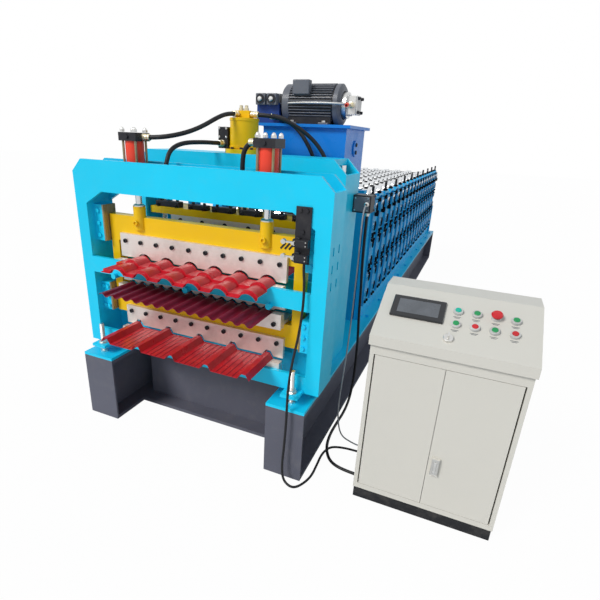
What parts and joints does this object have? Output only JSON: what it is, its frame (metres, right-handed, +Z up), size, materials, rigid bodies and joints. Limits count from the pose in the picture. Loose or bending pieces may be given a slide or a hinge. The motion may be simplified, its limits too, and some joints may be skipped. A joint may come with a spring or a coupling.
{
  "type": "three-deck roofing sheet roll forming machine",
  "caption": "Roll forming machine for roofing sheets with stacked roll decks, a step press, a shearing portal with hydraulic cylinders, an oil tank and a control desk",
  "frame": {"origin": "on the floor, at the middle of the underside of the front cross member between the two base beams", "axes": "+X right seen from the outfeed end, +Y from the outfeed end toward the strip entry, +Z up"},
  "size_m": [2.279, 5.776, 1.887],
  "materials": {
    "base_grey": "satin paint",
    "plate_blue": "gloss paint",
    "stand_blue": "gloss paint",
    "tank_blue": "gloss paint",
    "frame_yellow": "gloss paint",
    "blade_steel": "ground",
    "roll_chrome": "polished",
    "zinc": "zinc plated",
    "black_oxide": "blackened",
    "liner_brass": "machined",
    "cylinder_red": "satin paint",
    "sheet_red": "coated",
    "sheet_maroon": "coated",
    "cabinet_ivory": "powder coat",
    "plinth_black": "powder coat",
    "screen_black": "gloss",
    "hose_rubber": "matt",
    "cable_grey": "matt"
  },
  "bodies": {
    "machine": {"adjusting_caps": "black_oxide", "base_beams": "base_grey", "base_plates": "plate_blue", "bearing_blocks": "stand_blue", "cabinet_body": "cabinet_ivory", "cabinet_desk": "cabinet_ivory", "cabinet_plinth": "plinth_black", "cable_signal": "cable_grey", "cable_supply": "hose_rubber", "cable_switches": "hose_rubber", "corrugated_rolls": "roll_chrome", "corrugated_sheet": "sheet_maroon", "cross_members": "base_grey", "cutter_columns": "plate_blue", "cutter_front_plate": "plate_blue", "cutter_rear_plate": "plate_blue", "cylinder_barrels": "cylinder_red", "cylinder_heads": "black_oxide", "desk_fittings": "screen_black", "entry_table": "stand_blue", "gear_pump": "zinc", "guide_blocks": "plate_blue", "guide_liners": "liner_brass", "guide_posts": "roll_chrome", "hinge_pins": "zinc", "hose_left_low": "hose_rubber", "hose_left_top": "hose_rubber", "hose_press_feed": "hose_rubber", "hose_press_return": "hose_rubber", "hose_right_top": "hose_rubber", "junction_box": "plinth_black", "levelling_feet": "plate_blue", "limit_switches": "black_oxide", "lower_blades": "blade_steel", "oil_tank": "tank_blue", "press_cylinder": "frame_yellow", "press_front_plate": "plate_blue", "press_rear_plate": "plate_blue", "press_table": "plate_blue", "press_walls": "plate_blue", "pump_motor": "black_oxide", "rib_rolls": "roll_chrome", "rib_sheet": "sheet_red", "stand_walls": "stand_blue", "tank_lid": "tank_blue", "tank_stand": "stand_blue", "tie_rods": "liner_brass", "tile_rolls": "roll_chrome", "tile_sheet": "sheet_red", "valve_blocks": "black_oxide"},
    "cutter": {"cutter_frame": "frame_yellow", "upper_blades": "blade_steel", "piston_rods": "roll_chrome"},
    "press_ram": {"press_die": "blade_steel", "press_beam": "frame_yellow", "press_rod": "roll_chrome"},
    "left_door": {"cabinet_door_left": "cabinet_ivory"},
    "right_door": {"cabinet_door_right": "cabinet_ivory"}
  },
  "joints": [
    {"name": "cutter_stroke", "type": "slide", "parent": "machine", "child": "cutter", "axis": [0, 0, -1], "range_m": [0, 0.03]},
    {"name": "press_stroke", "type": "slide", "parent": "machine", "child": "press_ram", "axis": [0, 0, -1], "range_m": [0, 0.04]},
    {"name": "left_door_hinge", "type": "hinge", "parent": "machine", "child": "left_door", "pos_m": [0.977, -0.299, 0.424], "axis": [0, 0, -1], "range_deg": [0, 110]},
    {"name": "right_door_hinge", "type": "hinge", "parent": "machine", "child": "right_door", "pos_m": [1.527, -0.299, 0.424], "axis": [0, 0, 1], "range_deg": [0, 110]}
  ]
}
